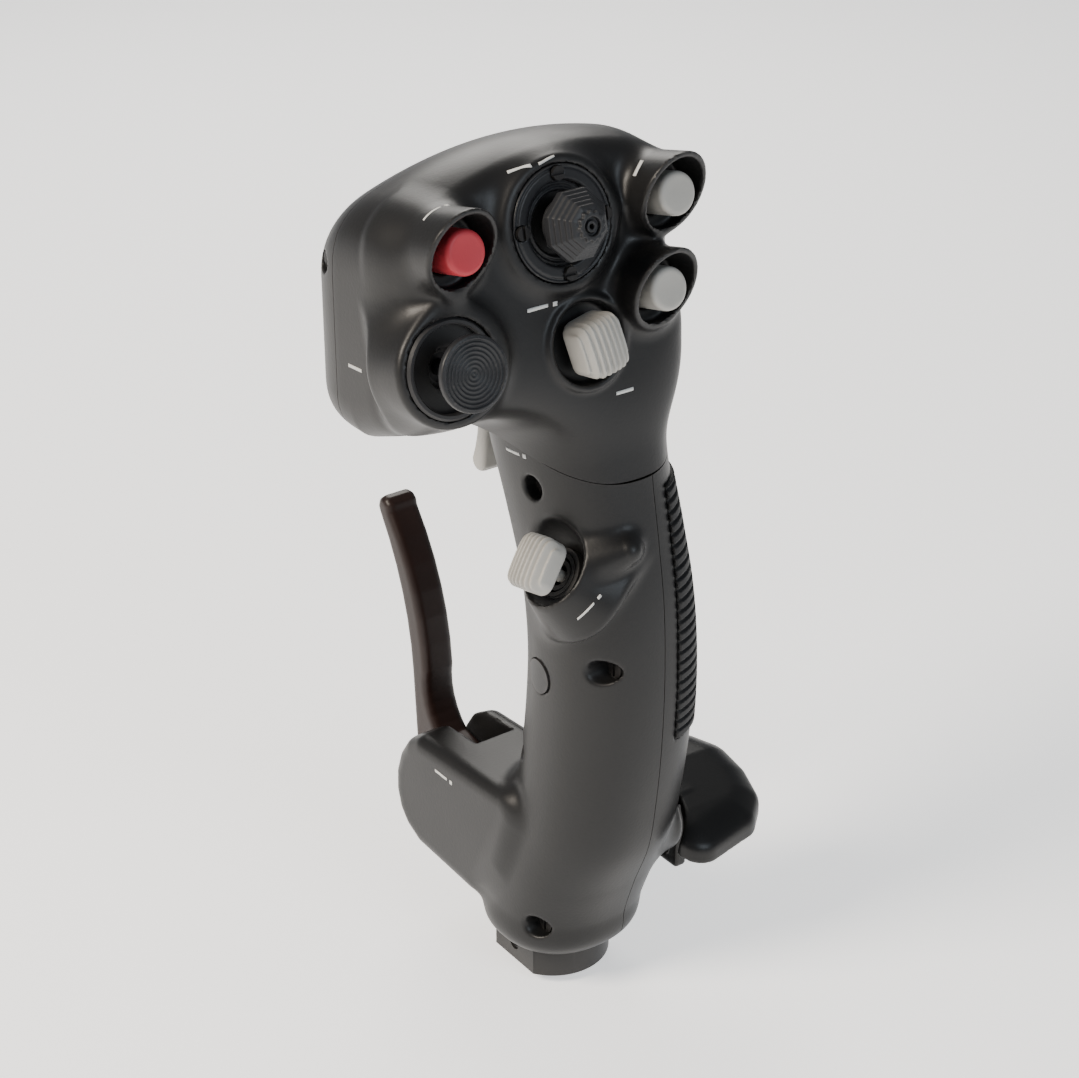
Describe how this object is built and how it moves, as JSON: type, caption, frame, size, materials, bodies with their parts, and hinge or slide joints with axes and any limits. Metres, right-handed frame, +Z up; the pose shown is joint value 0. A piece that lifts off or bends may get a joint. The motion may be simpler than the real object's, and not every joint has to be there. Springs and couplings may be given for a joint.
{
  "type": "flight joystick grip",
  "caption": "Right-hand flight stick grip with hooded buttons, rocking hats, a thumb stick, a trigger, a sprung brake lever and an adjustable palm rest on a round base collar.",
  "frame": {"origin": "centre of the base collar's bottom face", "axes": "+Z up along the collar's axis, -Y towards the pilot, +X to the pilot's right (palm rest side)"},
  "size_m": [0.1225, 0.1236, 0.2549],
  "materials": {
    "shell_plastic": "satin, fine moulded grain",
    "steel": "plated",
    "spring_steel": "drawn wire",
    "circuit_board": "solder mask",
    "inner_plastic": "moulded",
    "contact_brass": "plated",
    "wire_jacket": "matt",
    "rubber_pad": "serrated, matt",
    "collar_metal": "anodised black",
    "lever_finish": "dark red-brown, satin",
    "rest_plastic": "satin black",
    "black_screw": "black oxide",
    "red_cap": "satin",
    "light_cap": "satin",
    "dark_cap": "satin"
  },
  "bodies": {
    "grip": {"head_face_shell": "shell_plastic", "head_front_cover": "shell_plastic", "head_screws": "steel", "grip_left_shell": "shell_plastic", "grip_right_shell": "shell_plastic", "grip_pad": "rubber_pad", "grip_screws": "steel", "blanking_plug": "dark_cap", "base_collar": "collar_metal", "base_connector": "inner_plastic", "connector_pins": "contact_brass", "collar_set_screw": "steel", "brake_pivot_pin": "steel", "brake_return_spring": "spring_steel", "brake_sensor_board": "circuit_board", "trigger_pin": "steel", "trigger_spring": "spring_steel", "trigger_switch": "inner_plastic", "button_switches": "inner_plastic", "master_hat_base": "inner_plastic", "master_hat_ring": "dark_cap", "master_hat_screws": "black_screw", "maneuver_hat_base": "inner_plastic", "reset_hat_base": "inner_plastic", "ministick_base": "inner_plastic", "ministick_trim_ring": "dark_cap", "controller_board": "circuit_board", "wire_harness": "wire_jacket", "palm_rest_clamp_screw": "black_screw", "palm_rest_nut": "steel"},
    "brake_lever": {"brake_lever": "lever_finish", "brake_magnet": "steel"},
    "trigger": {"trigger": "light_cap"},
    "palm_rest": {"palm_rest": "rest_plastic"},
    "red_button": {"red_button": "red_cap"},
    "upper_gray_button": {"upper_gray_button": "light_cap"},
    "lower_gray_button": {"lower_gray_button": "light_cap"},
    "master_hat_plunger": {"master_hat_plunger": "inner_plastic"},
    "master_hat_rocker": {"master_hat_rocker": "inner_plastic"},
    "master_hat_cap": {"master_hat_cap": "dark_cap"},
    "maneuver_hat_plunger": {"maneuver_hat_plunger": "inner_plastic"},
    "maneuver_hat_rocker": {"maneuver_hat_rocker": "inner_plastic"},
    "maneuver_hat_cap": {"maneuver_hat_cap": "light_cap"},
    "reset_hat_plunger": {"reset_hat_plunger": "inner_plastic"},
    "reset_hat_rocker": {"reset_hat_rocker": "inner_plastic"},
    "reset_hat_cap": {"reset_hat_cap": "light_cap"},
    "ministick_rocker": {"ministick_rocker": "inner_plastic"},
    "ministick_cap": {"ministick_cap": "dark_cap"}
  },
  "joints": [
    {"name": "red_button_press", "type": "slide", "parent": "grip", "child": "red_button", "axis": [0, 0.9744, -0.225], "range_m": [0, 0.0015], "stiffness_N_per_m": 600, "springref_m": -0.001},
    {"name": "upper_gray_button_press", "type": "slide", "parent": "grip", "child": "upper_gray_button", "axis": [0, 0.9744, -0.225], "range_m": [0, 0.0015], "stiffness_N_per_m": 600, "springref_m": -0.001},
    {"name": "lower_gray_button_press", "type": "slide", "parent": "grip", "child": "lower_gray_button", "axis": [0, 0.9744, -0.225], "range_m": [0, 0.0015], "stiffness_N_per_m": 600, "springref_m": -0.001},
    {"name": "master_hat_press", "type": "slide", "parent": "grip", "child": "master_hat_plunger", "axis": [0, 0.9744, -0.225], "range_m": [0, 0.0008], "stiffness_N_per_m": 1500, "springref_m": -0.0008},
    {"name": "master_hat_sideways", "type": "hinge", "parent": "master_hat_plunger", "child": "master_hat_rocker", "pos_m": [-0.013, -0.01475, 0.23617], "axis": [0, 0.225, 0.9744], "range_deg": [-8, 8], "stiffness_Nm_per_rad": 0.03},
    {"name": "master_hat_up_down", "type": "hinge", "parent": "master_hat_rocker", "child": "master_hat_cap", "pos_m": [-0.013, -0.01475, 0.23617], "axis": [1, 0, 0], "range_deg": [-8, 8], "stiffness_Nm_per_rad": 0.03},
    {"name": "maneuver_hat_press", "type": "slide", "parent": "grip", "child": "maneuver_hat_plunger", "axis": [0, 0.9744, -0.225], "range_m": [0, 0.0008], "stiffness_N_per_m": 1500, "springref_m": -0.0008},
    {"name": "maneuver_hat_sideways", "type": "hinge", "parent": "maneuver_hat_plunger", "child": "maneuver_hat_rocker", "pos_m": [-0.0085, -0.01896, 0.20461], "axis": [0, 0.225, 0.9744], "range_deg": [-8, 8], "stiffness_Nm_per_rad": 0.03},
    {"name": "maneuver_hat_up_down", "type": "hinge", "parent": "maneuver_hat_rocker", "child": "maneuver_hat_cap", "pos_m": [-0.0085, -0.01896, 0.20461], "axis": [1, 0, 0], "range_deg": [-8, 8], "stiffness_Nm_per_rad": 0.03},
    {"name": "reset_hat_press", "type": "slide", "parent": "grip", "child": "reset_hat_plunger", "axis": [0.7944, -0.0704, -0.6033], "range_m": [0, 0.0008], "stiffness_N_per_m": 1500, "springref_m": -0.0008},
    {"name": "reset_hat_sideways", "type": "hinge", "parent": "reset_hat_plunger", "child": "reset_hat_rocker", "pos_m": [-0.0141, -0.0227, 0.1395], "axis": [0.0561, 0.9975, -0.0426], "range_deg": [-8, 8], "stiffness_Nm_per_rad": 0.03},
    {"name": "reset_hat_up_down", "type": "hinge", "parent": "reset_hat_rocker", "child": "reset_hat_cap", "pos_m": [-0.0141, -0.0227, 0.1395], "axis": [0.6048, 0, 0.7964], "range_deg": [-8, 8], "stiffness_Nm_per_rad": 0.03},
    {"name": "ministick_sideways", "type": "hinge", "parent": "grip", "child": "ministick_rocker", "pos_m": [-0.05, -0.0195, 0.20802], "axis": [0, 0.225, 0.9744], "range_deg": [-14, 14], "stiffness_Nm_per_rad": 0.03},
    {"name": "ministick_up_down", "type": "hinge", "parent": "ministick_rocker", "child": "ministick_cap", "pos_m": [-0.05, -0.0195, 0.20802], "axis": [1, 0, 0], "range_deg": [-14, 14], "stiffness_Nm_per_rad": 0.03},
    {"name": "trigger_pull", "type": "hinge", "parent": "grip", "child": "trigger", "pos_m": [0.001, 0.0265, 0.188], "axis": [-1, 0, 0], "range_deg": [0, 8], "stiffness_Nm_per_rad": 0.3, "springref_deg": -5.73},
    {"name": "brake_pull", "type": "hinge", "parent": "grip", "child": "brake_lever", "pos_m": [0, 0.024, 0.038], "axis": [1, 0, 0], "range_deg": [0, 16], "stiffness_Nm_per_rad": 0.8, "springref_deg": -8.59},
    {"name": "palm_rest_height", "type": "slide", "parent": "grip", "child": "palm_rest", "axis": [0, 0, 1], "range_m": [0, 0.012]}
  ]
}
